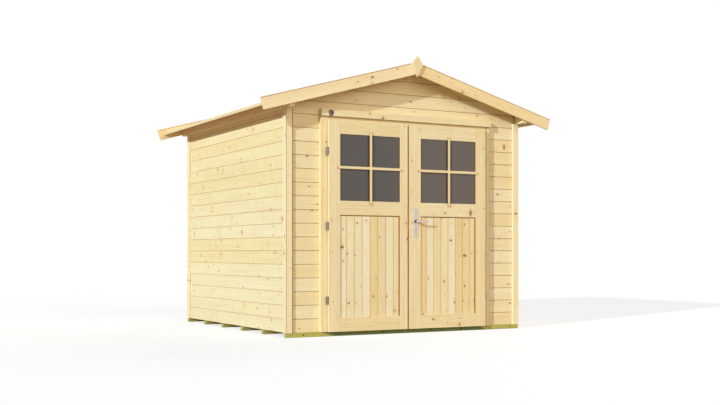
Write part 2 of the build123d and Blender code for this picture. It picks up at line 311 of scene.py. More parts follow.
def split(vector):
    """The three numbers of a vector."""
    return add_beside("ShaderNodeSeparateXYZ", (vector,))


def split_colour(colour):
    """The three numbers of a colour."""
    return add_beside("ShaderNodeSeparateColor", (colour,))


def between(value, low, high):
    """Value kept between two limits."""
    return sums("MAXIMUM", sums("MINIMUM", value, high), low)


def ramp_up(value, start, end):
    """Smooth step from 0 at start to 1 at end."""
    inputs = {"Value": value, "From Min": start, "From Max": end}
    return add(value.tree, "ShaderNodeMapRange", inputs, interpolation_type="SMOOTHSTEP")["Result"]


def blend(share, first, second, mode="MIX"):
    """Colour between two colours."""
    tree = next(value.tree for value in (share, first) if isinstance(value, Value))
    return add(tree, "ShaderNodeMix", {0: share, 6: first, 7: second}, data_type="RGBA", blend_type=mode)[2]


def noise(vector, scale=1.0, detail=2.0):
    """Outputs of a noise texture."""
    return add(vector.tree, "ShaderNodeTexNoise", {"Vector": vector, "Scale": scale, "Detail": detail})


def object_spot(tree):
    """Place on the object, in its own frame."""
    return add(tree, "ShaderNodeTexCoord")["Object"]


def new_sockets(tree, direction, wanted):
    """Named sockets of a node group, with their defaults."""
    for name, kind, value in wanted:
        socket = tree.interface.new_socket(name=name, in_out=direction, socket_type="NodeSocket" + kind)
        if value is not None:
            socket.default_value = value


def new_group(name, kind, inputs, outputs):
    """Node group with its sockets; gives the tree, its inputs' values and its outputs to feed."""
    tree = bpy.data.node_groups.new(name, kind)
    new_sockets(tree, "INPUT", inputs)
    new_sockets(tree, "OUTPUT", outputs)
    return tree, add(tree, "NodeGroupInput"), tree.nodes.new("NodeGroupOutput").inputs


def new_material(name, settings=None):
    """Material with nodes, its tree and the inputs of its surface."""
    material = bpy.data.materials.new(name)
    material.use_nodes = True
    surface = material.node_tree.nodes["Principled BSDF"].inputs
    for key, value in (settings or {}).items():
        feed(value, surface[key])
    return material, material.node_tree, surface


def emboss(height, strength, distance, surface):
    """Fine relief of a surface."""
    inputs = {"Height": height, "Strength": strength, "Distance": distance}
    feed(add(height.tree, "ShaderNodeBump", inputs)["Normal"], surface["Normal"])


def new_object(name, data):
    """Object in the scene."""
    thing = bpy.data.objects.new(name, data)
    SCENE.collection.objects.link(thing)
    return thing


def hand_over(name, mesh, body, slot_used, *nodes):
    """Finished piece on its body, in place of the nodes that it stands for; its slot is not used."""
    piece = new_object(name, mesh)
    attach(piece, body)
    if nodes:
        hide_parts(*nodes)


# Timber

def make_timber_figure():
    """Grain, scattered knots, board tones and dark joints of planed softwood, with painted shade on faces
    turned to a shaded side and a dark line past a given level.
    """
    tree, given, result = new_group("timber_figure", "ShaderNodeTree", (
        ("Grain", "Vector", (1, 0, 0)),
        ("Pale Wood", "Color", (0.91, 0.78, 0.50, 1)),
        ("Late Wood", "Color", (0.74, 0.53, 0.265, 1)),
        ("Knot", "Color", (0.27, 0.095, 0.035, 1)),
        ("Joint", "Color", (0.36, 0.19, 0.07, 1)),
        ("Joint Strength", "Float", 0.85),
        # Edge is painted shade on faces turned to Shaded Side, and also the colour of the dark line past
        # Line From
        ("Edge", "Color", (0.42, 0.20, 0.06, 1)),
        ("Edge Strength", "Float", 0.9),
        ("Ring Strength", "Float", 0.10),
        ("Streak Strength", "Float", 0.55),
        ("Tone Spread", "Float", 0.08),
        ("Cross Marks", "Float", 0.035),
        ("Knot Chance", "Float", 0.19),
        ("Knot Radius", "Float", 0.0085),
        ("Knot Spacing", "Float", 0.14),
        ("Lane Width", "Float", 0.055),
        ("Shaded Side", "Vector", (0, 0, 0)),
        ("Shaded From", "Float", 0.0),
        ("Line Side", "Vector", (0, 0, 0)),
        ("Line From", "Float", 1.0),
    ), (
        ("Color", "Color", None),
        ("Roughness", "Float", None),
        ("Height", "Float", None),
    ))
    spot = add(tree, "ShaderNodeTexCoord")
    tone = add(tree, "ShaderNodeAttribute", attribute_name="tone")["Fac"]
    shifts = split(add(tree, "ShaderNodeAttribute", attribute_name="shift")["Vector"])
    joint = add(tree, "ShaderNodeAttribute", attribute_name="joint")["Fac"]

    along = vectors("DOT_PRODUCT", spot["Object"], given["Grain"]) + shifts[0]
    sideways = vectors("CROSS_PRODUCT", spot["Normal"], given["Grain"])
    across = vectors("DOT_PRODUCT", spot["Object"], sideways) + shifts[1]
    facing = sums("ABSOLUTE", vectors("DOT_PRODUCT", spot["Normal"], given["Grain"]))
    end_grain = ramp_up(facing, 0.8, 0.95)

    # Knots, scattered one to a cell of the face; some are cut along into narrow spikes
    cell = place(along / given["Knot Spacing"], across / given["Lane Width"], 0)
    scatter = add(tree, "ShaderNodeTexVoronoi", {"Vector": cell, "Scale": 1.0}, voronoi_dimensions="2D")
    chances = split_colour(scatter["Color"])
    away = split(vectors("SUBTRACT", cell, scatter["Position"]))
    warps = split_colour(noise(place(along, across, shifts[2]), KNOT_WARP_SCALE)["Color"])
    ahead = away[0] * given["Knot Spacing"] + (warps[0] * KNOT_WARP - KNOT_WARP / 2)
    beside = away[1] * given["Lane Width"] + (warps[1] * KNOT_WARP - KNOT_WARP / 2)
    luck_left = chances[0] / given["Knot Chance"]
    is_knot = sums("LESS_THAN", luck_left, 1.0)
    size = sums("POWER", sums("MAXIMUM", 1.0 - luck_left, 0.0), 2.0)
    radius = (size * 0.8 + 0.22) * given["Knot Radius"]
    is_spike = sums("GREATER_THAN", chances[2], SPIKE_CHANCE)
    beside_cut = beside * (is_spike * (SPIKE_WIDTH - 1.0) + 1.0)
    stretch = chances[1] * 0.5 + 0.6

    def near_knot(lengthen, inner, outer):
        share = vectors("LENGTH", place(ahead * (stretch * lengthen), beside_cut, 0)) / radius
        return share, (1.0 - ramp_up(share, inner, outer)) * is_knot

    share, core = near_knot(1.0, 0.75, 1.15)
    halo = near_knot(1.0, 0.9, 2.4)[1]
    smear = near_knot(0.22, 0.6, 2.6)[1]

    # Growth rings that bend round the knots, streaks and fine fibres
    bent = sums("SIGN", beside) * (halo * radius * 0.9) + across
    swell = noise(place(along * 0.6, bent * 8.0, shifts[2] * 9.0), detail=1.0)["Fac"]
    rings = sums("POWER", sums("SINE", swell * 95.0) * 0.5 + 0.5, 2.0)

    def lengthwise(ahead_scale, beside_scale, detail):
        line = place(along * ahead_scale, bent * beside_scale, shifts[2])
        return noise(line, detail=detail)["Fac"]

    fibre = lengthwise(7.0, 520.0, 3.0)
    streak = lengthwise(0.9, 75.0, 2.0)
    patch = lengthwise(1.3, 12.0, 2.0)
    figure = rings * given["Ring Strength"] + 0.16
    for layer, weight in ((fibre, 0.30), (streak, given["Streak Strength"]), (patch, 0.45)):
        figure = (layer - 0.5) * weight + figure
    figure = add(tree, "ShaderNodeClamp", {0: figure})[0]
    colour = blend(figure, given["Pale Wood"], given["Late Wood"])

    # Tone of the board, with faint marks across it; a dark board is warmer too
    tone = (tone - 0.5) * given["Tone Spread"]
    mark = noise(place(along * 16.0, across * 2.0, shifts[2] * 5.0))["Fac"]
    tone = tone - ramp_up(mark, 0.54, 0.70) * given["Cross Marks"]
    tint = add(tree, "ShaderNodeCombineColor", {0: tone * 0.3 + 1.0, 1: tone + 1.0, 2: tone * 2.8 + 1.0})
    colour = blend(1.0, colour, tint[0], "MULTIPLY")

    # Stain round each knot, then its ringed core and bark
    stained = blend(0.3, given["Late Wood"], given["Knot"])
    colour = blend(smear * 0.28, colour, SMEAR_COLOUR)
    colour = blend(halo * 0.38, colour, stained)
    core_rings = sums("SINE", share * 11.0)
    core_colour = blend(core_rings * 0.16 + 0.18, given["Knot"], given["Late Wood"])
    core_colour = blend(ramp_up(share, 0.7, 1.0) * 0.5, core_colour, BARK_COLOUR)
    colour = blend(core, colour, core_colour)
    colour = blend(end_grain * 0.30, colour, given["Late Wood"])

    # Joints between boards, painted shade on faces turned to the shaded side, and a dark line past a level:
    # painted shade under the drip board, a plain dark line on the barge boards
    in_joint = ramp_up(joint, 0.0, 0.5) * given["Joint Strength"]
    edge_on = vectors("DOT_PRODUCT", spot["Normal"], given["Shaded Side"])
    level = vectors("DOT_PRODUCT", spot["Object"], given["Shaded Side"])
    past = sums("LESS_THAN", level, given["Shaded From"])
    edge = ramp_up(edge_on, 0.6, 0.8) * past * given["Edge Strength"]
    line_level = vectors("DOT_PRODUCT", spot["Object"], given["Line Side"])
    line = ramp_up(line_level, given["Line From"], given["Line From"] + LINE_BLUR) * 0.75
    colour = blend(in_joint, colour, given["Joint"])
    colour = blend(sums("MAXIMUM", edge, line), colour, given["Edge"])

    feed(colour, result["Color"])
    feed(end_grain * 0.15 + (core * -0.15 + (fibre * 0.18 + 0.52)), result["Roughness"])
    feed(core * 0.4 + (rings * -0.35 + fibre), result["Height"])
    return tree


def timber(name, grain, figure, **values):
    """Planed timber with its grain along a direction."""
    material, tree, surface = new_material(name, {"Specular IOR Level": 0.3})
    inputs = {key.replace("_", " ").title(): value for key, value in values.items()}
    wood = add(tree, "ShaderNodeGroup", node_tree=figure)
    for key, value in {"Grain": tuple(grain), **inputs}.items():
        feed(value, wood.node.inputs[key])
    feed(wood["Color"], surface["Base Color"])
    feed(wood["Roughness"], surface["Roughness"])
    emboss(wood["Height"], 0.35, 0.0006, surface)
    return material


def make_woods(figure):
    """One timber for each kind of board, post or bead, and for each direction that it runs in."""
    top_line = corners("barge_boards_left")[1].z * math.cos(ROOF_PITCH) - BARGE_LINE
    drip_line = corners("door_drip_board")[0].z + DRIP_LINE
    barge = {
        "tone_spread": 0.08, "knot_radius": 0.010, "line_from": top_line,
        "pale_wood": (0.98, 0.80, 0.49, 1)}
    # Painted shade: the leaves' faces that look left are dark brown, apart from the left leaf's outer edge
    leaf = {
        "tone_spread": 0.06, "knot_chance": 0.20, "streak_strength": 0.9, "ring_strength": 0.20,
        "edge": (0.62, 0.27, 0.07, 1), "shaded_side": tuple(-RIGHT), "shaded_from": -LEAF_EDGE}
    woods = {
        key: timber(name, grain, figure, **values) for key, name, grain, values in (
            ("level", "spruce_boards_level", RIGHT, {"tone_spread": 0.10}),
            # Painted light: the side walls' copy of the timber is a touch paler, with fainter joints, for
            # the sun on them
            ("side", "spruce_boards_side", BACK, {
                "tone_spread": 0.10, "cross_marks": 0.07, "pale_wood": (0.91, 0.793, 0.50, 1),
                "knot": (0.38, 0.17, 0.065, 1), "knot_radius": 0.0075,
                "joint": (0.60, 0.26, 0.09, 1), "joint_strength": 0.62}),
            ("rail", "spruce_rails", RIGHT, {"tone_spread": 0.06}),
            ("upright", "spruce_uprights", UP, {"tone_spread": 0.06, "knot_chance": 0.16}),
            # Painted light: the posts' timber is paler, for the sun on their sides
            ("post", "spruce_posts", UP, {
                "tone_spread": 0.04, "knot_chance": 0.16,
                "pale_wood": (0.95, 0.83, 0.56, 1), "late_wood": (0.80, 0.60, 0.33, 1)}),
            ("leaf_rail", "spruce_leaf_rails", RIGHT, leaf),
            ("leaf_upright", "spruce_leaf_uprights", UP, leaf),
            # Painted shade: the glazing bars' faces that look left are near black, with their reflection in
            # the glass
            ("bar", "spruce_glazing_bars", RIGHT, {
                "tone_spread": 0.04, "knot_chance": 0.05, "edge": (0.085, 0.038, 0.014, 1),
                "shaded_side": tuple(-RIGHT), "shaded_from": -LEAF_EDGE}),
            # Painted shade: a dark line along the drip board's bottom edge
            ("drip", "spruce_drip_board", RIGHT, {
                "edge": (0.30, 0.17, 0.055, 1), "line_side": tuple(-UP), "line_from": -drip_line}),
            # Painted light: paler timber for the purlins, which sit in the eaves' shade
            ("purlin", "spruce_purlins", BACK, {
                "tone_spread": 0.06, "knot_chance": 0.18, "pale_wood": (0.97, 0.84, 0.60, 1)}),
            ("batten", "spruce_battens", BACK, {
                "tone_spread": 0.04, "pale_wood": (0.97, 0.85, 0.56, 1)}),
            ("barge_left", "spruce_barge_left", SLOPE_LEFT, {
                "line_side": slope_up(-1), "knot_chance": 0.20, **barge}),
            ("barge_right", "spruce_barge_right", SLOPE_RIGHT, {
                "line_side": slope_up(1), "knot_chance": 0.07, **barge}),
            # Painted shade: the undersides of the roof boards are darker, reddish on the left slope and
            # olive on the right
            ("roof_left", "roof_boards_left_slope", SLOPE_LEFT, {
                "tone_spread": 0.08, "pale_wood": (0.93, 0.76, 0.44, 1), "edge": (0.60, 0.25, 0.12, 1),
                "edge_strength": 0.6, "shaded_side": slope_under(-1)}),
            ("roof_right", "roof_boards_right_slope", SLOPE_RIGHT, {
                "tone_spread": 0.08, "edge": (0.42, 0.36, 0.22, 1),
                "edge_strength": 0.6, "shaded_side": slope_under(1)}),
            ("treated", "treated_joists", RIGHT, {
                "pale_wood": (0.53, 0.48, 0.135, 1), "late_wood": (0.28, 0.30, 0.075, 1),
                "knot": (0.01, 0.012, 0.006, 1), "knot_chance": 0.3, "knot_radius": 0.009,
                "tone_spread": 0.15}),
            ("panel", "spruce_panel_boards", UP, {
                "tone_spread": 0.20, "knot_chance": 0.25, "lane_width": 0.04,
                "joint": (0.38, 0.17, 0.045, 1), "joint_strength": 0.95}),
            # Painted shade: dark timber for the strips beside the panels, panes, bars, door frame and post
            ("bead", "panel_painted_shade", UP, {
                "pale_wood": (0.34, 0.19, 0.065, 1), "late_wood": (0.22, 0.115, 0.04, 1),
                "knot_chance": 0.02}),
            ("shaded_bead", "frame_painted_shade", UP, {
                "pale_wood": (0.62, 0.47, 0.27, 1), "late_wood": (0.50, 0.34, 0.17, 1),
                "knot_chance": 0.02}),
            ("glazing_bead", "glazing_painted_shade", UP, {
                "pale_wood": (0.085, 0.045, 0.024, 1), "late_wood": (0.055, 0.030, 0.018, 1),
                "knot_chance": 0.02}),
        )}
    paint_door_shadow(woods["treated"])
    return woods


def paint_door_shadow(material):
    """Painted shadow: darker, greener timber on the front joist under the leaves, with a slanting edge like
    the sun's shadow.
    """
    surface = material.node_tree.nodes["Principled BSDF"].inputs
    unshaded = Value(surface["Base Color"].links[0].from_socket)
    parts = split(object_spot(material.node_tree))
    left_end = corners("left_leaf_stiles")[0].x
    right_end = corners("right_leaf_stiles")[1].x
    run = parts[2] * SHADOW_EDGE_LEAN + parts[0]
    after_left = ramp_up(run, left_end + 2 * SHADOW_EDGE_BLUR, left_end + 4 * SHADOW_EDGE_BLUR)
    before_right = 1.0 - ramp_up(run, right_end + SHADOW_EDGE_BLUR, right_end + 3 * SHADOW_EDGE_BLUR)
    at_front = sums("LESS_THAN", parts[1], corners("front_wall_left")[0].y)
    door_shadow = after_left * before_right * at_front
    feed(blend(door_shadow, unshaded, DOOR_SHADOW_TINT, "MULTIPLY"), surface["Base Color"])


# Other materials

def plain_metal(name, colour, roughness, brushed):
    """Metal with a faint brushed or mottled surface."""
    material, tree, surface = new_material(name, {"Metallic": 1.0})
    grain = noise(vectors("MULTIPLY", object_spot(tree), brushed), detail=3.0)["Fac"]
    dull = [0.8 * part for part in colour]
    feed(grain * 0.25 + (roughness - 0.125), surface["Roughness"])
    feed(blend(grain, (*dull, 1), (*colour, 1)), surface["Base Color"])
    emboss(grain, 0.15, 0.0003, surface)
    return material


def plain_dark(name):
    """Painted shade for the inside of a recess, with a little dust."""
    material, tree, surface = new_material(name)
    dust = noise(object_spot(tree), 700.0)["Fac"]
    feed(blend(dust, (0.010, 0.009, 0.008, 1), (0.030, 0.025, 0.020, 1)), surface["Base Color"])
    feed(dust * 0.2 + 0.6, surface["Roughness"])
    return material


def glazing(name):
    """Dark glass that shows a little of the room behind it, paler to the right."""
    material, tree, surface = new_material(name, {"Transmission Weight": 0.15, "IOR": 1.5})
    spot = object_spot(tree)
    film = noise(spot, 2.2)["Fac"]
    rightward = ramp_up(film * 0.6 + split(spot)[0], -0.3, 0.75)
    feed(film * 0.04 + 0.03, surface["Roughness"])
    feed(blend(rightward, (0.099, 0.090, 0.084, 1), (0.150, 0.121, 0.107, 1)), surface["Base Color"])
    return material


def dark_knot():
    """Purple-brown knot wood, ringed round its own middle, with bark at the rim, and painted shade that
    darkens it towards the right.
    """
    material, tree, surface = new_material("drip_board_knot")
    spot = object_spot(tree)
    off = vectors("SUBTRACT", spot, tuple(KNOT_MIDDLE))
    parts = split(off)
    waver = noise(spot, 60.0, 3.0)["Fac"]
    reach = waver * 0.006 + (vectors("LENGTH", vectors("MULTIPLY", off, (1, 0, 1))) - 0.003)
    rings = sums("SINE", reach * 1500.0) * 0.5 + 0.5
    # Painted shade: the knot and its bark rim darken from left to right, as if lit from the left
    sideways = ramp_up(parts[0], -0.9 * KNOT_RADIUS, 0.9 * KNOT_RADIUS)
    low_part = ramp_up(parts[2] * -1.0, 0.35 * KNOT_RADIUS, 0.95 * KNOT_RADIUS)
    bark = ramp_up(reach, 0.82 * KNOT_RADIUS, 0.97 * KNOT_RADIUS) * (sideways * 0.65 + 0.25)
    heart = blend(sideways, (0.23, 0.145, 0.135, 1), (0.075, 0.045, 0.042, 1))
    heart = blend(rings * 0.35, heart, (0.10, 0.052, 0.062, 1))
    heart = blend(low_part * 0.8, heart, (0.15, 0.05, 0.025, 1))
    feed(blend(bark, heart, (0.035, 0.018, 0.012, 1)), surface["Base Color"])
    feed(rings * 0.12 + 0.42, surface["Roughness"])
    emboss(rings, 0.4, 0.0005, surface)
    return material


def finish_nodes(zinc, satin):
    """Materials of the nodes that keep their own shape."""
    glass = glazing("window_glass")
    for name, node in frame["nodes"].items():
        for material, word in ((glass, "leaf_glass"), (zinc, "hinges"), (satin, "handle"), (satin, "lever")):
            if word in name:
                node.data.materials.clear()
                node.data.materials.append(material)
                break


# Lights, floor and camera

def make_camera():
    """Level camera at the photograph's viewing angle, with the horizon below the middle."""
    data = bpy.data.cameras.new("camera")
    data.lens = CAMERA_LENS
    data.sensor_width = 36.0
    data.shift_y = CAMERA_SHIFT
    camera = new_object("camera", data)
    camera.location = CAMERA_PLACE
    camera.rotation_euler = (math.radians(90), 0, math.radians(CAMERA_AZIMUTH))
    SCENE.camera = camera


def make_lights():
    """Low sun from the left, and broad soft lights on the front and on the back."""
    for name, direction, strength, angle, colour, mirrored in LAMPS:
        data = bpy.data.lights.new(name, "SUN")
        data.energy = strength
        data.angle = math.radians(angle)
        data.color = colour
        lamp = new_object(name, data)
        lamp.visible_glossy = mirrored
        lamp.rotation_euler = Vector(direction).to_track_quat("-Z", "Y").to_euler()


def seen_directly(tree):
    """1 for rays from the camera, from gloss and through glass."""
    path = add(tree, "ShaderNodeLightPath")
    seen = sums("MAXIMUM", path["Is Camera Ray"], path["Is Glossy Ray"])
    return sums("MAXIMUM", seen, path["Is Transmission Ray"])


def make_world():
    """Soft light from all round, seen as plain white."""
    world = bpy.data.worlds.new("soft_light")
    SCENE.world = world
    world.use_nodes = True
    tree = world.node_tree
    tree.nodes.clear()
    ambient = add(tree, "ShaderNodeBackground", {"Color": (0.98, 0.98, 1.0, 1), "Strength": 0.175})[0]
    white = add(tree, "ShaderNodeBackground", {"Color": (1, 1, 1, 1), "Strength": 1.0})[0]
    mix = add(tree, "ShaderNodeMixShader", {0: seen_directly(tree), 1: ambient, 2: white})[0]
    add(tree, "ShaderNodeOutputWorld", {0: mix})


def make_floor_sheet():
    """White floor that keeps a faint shadow and throws warm light up under the eaves."""
    half = FLOOR_HALF
    mesh = bpy.data.meshes.new("floor_sheet")
    points = [(-half, -half, 0), (half, -half, 0), (half, half, 0), (-half, half, 0)]
    mesh.from_pydata(points, [], [(0, 1, 2, 3)])
    material, tree, _ = new_material("white_floor", {
        "Base Color": (0.36, 0.36, 0.36, 1), "Roughness": 1.0, "Specular IOR Level": 0.0,
        "Emission Color": (1, 1, 1, 1), "Emission Strength": 0.69})
    seen = Outputs(tree.nodes["Principled BSDF"])[0]
    bounce = add(tree, "ShaderNodeBsdfDiffuse", {"Color": (0.45, 0.325, 0.235, 1)})[0]
    mix = add(tree, "ShaderNodeMixShader", {0: seen_directly(tree), 1: bounce, 2: seen})[0]
    feed(mix, tree.nodes["Material Output"].inputs["Surface"])
    mesh.materials.append(material)
    new_object("floor_sheet", mesh)


# Rows made by node trees

def store(geometry, name, value, kind, domain):
    """Geometry with a named attribute stored on it."""
    inputs = {"Geometry": geometry, "Name": name, "Value": value}
    node = add(geometry.tree, "GeometryNodeStoreNamedAttribute", inputs, data_type=kind, domain=domain)
    return node[0]


def join(*parts):
    """Several geometries in one."""
    node = parts[0].tree.nodes.new("GeometryNodeJoinGeometry")
    for part in parts:
        feed(part, node.inputs[0])
    return Value(node.outputs[0])


def make_board_row():
    """Tree that adds a row of boards with V joints, cut to its ends and to the roof."""
    tree, given, result = new_group("board_row", "GeometryNodeTree", (
        ("Geometry", "Geometry", None),
        ("Corner", "Vector", (0, 0, 0)),
        ("Turn", "Rotation", None),
        ("Board Count", "Int", 1),
        ("First Board", "Float", 0.0),
        ("Cover", "Float", BOARD_COVER),
        ("Length", "Float", 1.0),
        ("Rise", "Float", 1.0),
        ("Thickness", "Float", BOARD_THICKNESS),
        ("Joint Width", "Float", WALL_JOINT_WIDTH),
        ("Joint Depth", "Float", WALL_JOINT_DEPTH),
        ("Roof Apex", "Float", NO_ROOF),
        ("Middle", "Float", 0.0),
        ("Seed", "Int", 0),
        ("Timber", "Material", None),
    ), (("Geometry", "Geometry", None),))

    # One board, with its edges set in to make half a joint
    size = place(given["Length"], given["Thickness"], given["Cover"])
    block = add(tree, "GeometryNodeMeshCube", {
        "Size": size, "Vertices X": 2, "Vertices Y": 2, "Vertices Z": 4})
    spot = split(add(tree, "GeometryNodeInputPosition")[0])
    at_edge = sums("GREATER_THAN", sums("ABSOLUTE", spot[2]) / given["Cover"], JOINT_SHARE)
    at_face = sums("LESS_THAN", spot[1], 0.0)
    half_cover = given["Cover"] * 0.5
    half_joint = given["Joint Width"] * 0.5
    level = (at_edge * half_joint + (half_cover - half_joint)) * sums("SIGN", spot[2])
    set_in = (at_face - 1.0) * INNER_JOINT_DEPTH + at_face * given["Joint Depth"]
    joint = at_edge * (at_face * (1.0 - INNER_JOINT_TONE) + INNER_JOINT_TONE)
    shaped = add(tree, "GeometryNodeSetPosition", {
        "Geometry": store(block["Mesh"], "joint", joint, "FLOAT", "POINT"),
        "Position": place(spot[0], spot[1] + set_in * at_edge, level),
    })[0]

    # The row, from the first board's lower edge
    line = add(tree, "GeometryNodeMeshLine", {
        "Count": given["Board Count"],
        "Start Location": place(
            given["Length"] * 0.5, given["Thickness"] * 0.5, given["First Board"] + half_cover),
        "Offset": place(0.0, 0.0, given["Cover"]),
    })[0]
    row = add(tree, "GeometryNodeInstanceOnPoints", {"Points": line, "Instance": shaped})[0]
    tone = add(tree, "FunctionNodeRandomValue", {"Seed": given["Seed"]}, data_type="FLOAT")[1]
    shift = add(tree, "FunctionNodeRandomValue", {
        "Min": (0, 0, 0), "Max": (9, 9, 9), "Seed": given["Seed"] + SECOND_SEED,
    }, data_type="FLOAT_VECTOR")[0]
    row = store(row, "tone", tone, "FLOAT", "INSTANCE")
    row = store(row, "shift", shift, "FLOAT_VECTOR", "INSTANCE")
    real = add(tree, "GeometryNodeRealizeInstances", {0: row})[0]

    # Cut to the row's height and to the slopes of the roof
    cut = split(add(tree, "GeometryNodeInputPosition")[0])
    up = between(cut[2], 0.0, given["Rise"])
    reach = (given["Roof Apex"] - up) / math.tan(ROOF_PITCH)
    run = between(cut[0], given["Middle"] - reach, given["Middle"] + reach)
    trimmed = add(tree, "GeometryNodeSetPosition", {"Geometry": real, "Position": place(run, cut[1], up)})[0]
    turned = add(tree, "GeometryNodeTransform", {
        "Geometry": trimmed, "Translation": given["Corner"], "Rotation": given["Turn"]})[0]
    faced = add(tree, "GeometryNodeSetMaterial", {"Geometry": turned, "Material": given["Timber"]})[0]
    feed(join(given["Geometry"], faced), result["Geometry"])
    return tree


def make_screw_row():
    """Tree that adds a straight row of screw heads, each with a dark six-sided sheet that paints the shade
    of a recess.
    """
    tree, given, result = new_group("screw_row", "GeometryNodeTree", (
        ("Geometry", "Geometry", None),
        ("First", "Vector", (0, 0, 0)),
        ("Step", "Vector", (0, 0, 0.02)),
        ("Count", "Int", 2),
        ("Turn", "Rotation", None),
        ("Head Radius", "Float", 0.004),
        ("Head Height", "Float", 0.0008),
        ("Steel", "Material", None),
        ("Recess", "Material", None),
    ), (("Geometry", "Geometry", None),))
    head = add(tree, "GeometryNodeMeshCone", {
        "Vertices": HEAD_SIDES, "Radius Top": given["Head Radius"] * HEAD_TOP_SHARE,
        "Radius Bottom": given["Head Radius"], "Depth": given["Head Height"]})[0]
    recess = add(tree, "GeometryNodeMeshCylinder", {
        "Vertices": RECESS_SIDES, "Radius": given["Head Radius"] * RECESS_SHARE,
        "Depth": RECESS_SHEET})[0]
    raised = add(tree, "GeometryNodeTransform", {
        "Geometry": recess, "Translation": place(0.0, 0.0, given["Head Height"])})[0]
    screw = join(head, store(raised, "recess", True, "BOOLEAN", "FACE"))
    line = add(tree, "GeometryNodeMeshLine", {
        "Count": given["Count"], "Start Location": given["First"], "Offset": given["Step"]})[0]
    row = add(tree, "GeometryNodeInstanceOnPoints", {
        "Points": line, "Instance": screw, "Rotation": given["Turn"]})[0]
    real = add(tree, "GeometryNodeRealizeInstances", {0: row})[0]
    steel = add(tree, "GeometryNodeSetMaterial", {"Geometry": real, "Material": given["Steel"]})[0]
    in_recess = add(tree, "GeometryNodeInputNamedAttribute", {"Name": "recess"}, data_type="BOOLEAN")
    dark = add(tree, "GeometryNodeSetMaterial", {
        "Geometry": steel, "Selection": in_recess["Attribute"], "Material": given["Recess"]})[0]
    feed(join(given["Geometry"], dark), result["Geometry"])
    return tree


def dress(name, tree, rows, body, slot_used, *nodes):
    """Piece made by one modifier of a tree for each row of named inputs."""
    plan = new_object(name + "_plan", bpy.data.meshes.new(name + "_plan"))
    sockets = {item.name: item.identifier for item in tree.interface.items_tree if item.in_out == "INPUT"}
    for values in rows:
        modifier = plan.modifiers.new("row", "NODES")
        modifier.node_group = tree
        for key, value in values.items():
            modifier[sockets[key]] = value
    mesh = evaluated_mesh(plan)
    mesh.name = name
    hand_over(name, mesh, body, slot_used, *nodes)


def evaluated_mesh(plan):
    """Mesh of an object with its modifiers, without the object."""
    bpy.context.view_layer.update()
    mesh = bpy.data.meshes.new_from_object(plan.evaluated_get(bpy.context.evaluated_depsgraph_get()))
    bpy.data.objects.remove(plan)
    return mesh


# Boards

def turn_for(run, face):
    """Rotation that lays a row's length along run, with its face towards face."""
    into = -face
    return Matrix((run, into, run.cross(into))).transposed().to_euler()


def board_row(corner, run, face, length, rise, timber_used, seed, **more):
    """Inputs of one row; rise is its height across the boards."""
    values = {
        "Corner": tuple(corner), "Turn": tuple(turn_for(run, face)), "First Board": 0.0,
        "Cover": BOARD_COVER, "Length": length, "Rise": rise, "Seed": seed, "Timber": timber_used}
    values.update({key.replace("_", " "): value for key, value in more.items()})
    values["Board Count"] = math.ceil((rise - values["First Board"]) / values["Cover"] - SPARE_BOARD)
    return values


def make_wall_boards(tree, woods):
    """Boards of the four walls and the two gables."""
    low, high = corners("left_wall")
    for node, corner, run, face, seed in (
        ("left_wall", Vector((low.x, high.y, low.z)), -BACK, -RIGHT, 3),
        ("right_wall", Vector((-low.x, low.y, low.z)), BACK, RIGHT, 11),
    ):
        row = board_row(corner, run, face, high.y - low.y, high.z - low.z, woods["side"], seed)
        dress(node + "_boards", tree, [row], "shed", "spruce", node)
    front_nodes = ("front_wall_left", "front_wall_right", "front_wall_over_door", "front_gable")
    for name, sign, seed, nodes in (
        ("front_wall_boards", -1, 23, front_nodes),
        ("back_wall_boards", 1, 37, ("back_wall", "back_gable")),
    ):
        rows = end_wall_rows(sign, seed, nodes, low.z, woods["level"])
        dress(name, tree, rows, "shed", "spruce", *nodes)


def end_wall_rows(sign, seed, nodes, base, wood):
    """Rows of the front wall, beside and over the doorway, or of the plain back wall."""
    run = -RIGHT * sign
    face = BACK * sign
    wall_low, wall_high = corners(nodes[0])
    gable_low, gable_high = corners(nodes[-1])
    plane = wall_low.y if sign < 0 else wall_high.y
    groove_reach = -corners("front_wall_left")[0].x
    door_left = corners("front_wall_left")[1].x
    door_right = corners("front_wall_right")[0].x
    gable_reach = gable_high.x
    gable_start = base + math.floor((gable_low.z - base) / BOARD_COVER) * BOARD_COVER
    stretches = ((-groove_reach, groove_reach, base, gable_start),)
    if sign < 0:
        stretches = (
            (-groove_reach, door_left, base, gable_start),
            (door_right, groove_reach, base, gable_start),
            (door_left, door_right, corners("front_wall_over_door")[0].z, gable_start),
        )
    rows = []
    for number, (x0, x1, z0, z1) in enumerate(stretches):
        corner = Vector((x0 if sign < 0 else x1, plane, z0))
        first = -((z0 - base) % BOARD_COVER)
        rows.append(board_row(corner, run, face, x1 - x0, z1 - z0, wood, seed + number, First_Board=first))

    # The gable: whole boards under the ridge purlin, then short ones beside it
    purlin_low, purlin_high = corners("ridge_purlin")
    apex = purlin_high.z - gable_start
    rise = math.floor((purlin_low.z + PURLIN_SLACK - gable_start) / BOARD_COVER) * BOARD_COVER
    corner = Vector((sign * gable_reach, plane, gable_start))
    rows.append(board_row(
        corner, run, face, 2 * gable_reach, rise, wood, seed + 5, Roof_Apex=apex, Middle=gable_reach))
    reach = (apex - rise) / math.tan(ROOF_PITCH)
    for side in (-1, 1):
        x0, x1 = sorted((side * purlin_high.x, side * reach))
        start = x0 if sign < 0 else x1
        corner = Vector((start, plane, gable_start + rise))
        rows.append(board_row(
            corner, run, face, x1 - x0, apex - rise, wood, seed + 7,
            Roof_Apex=apex - rise, Middle=-start * run.x))
    return rows


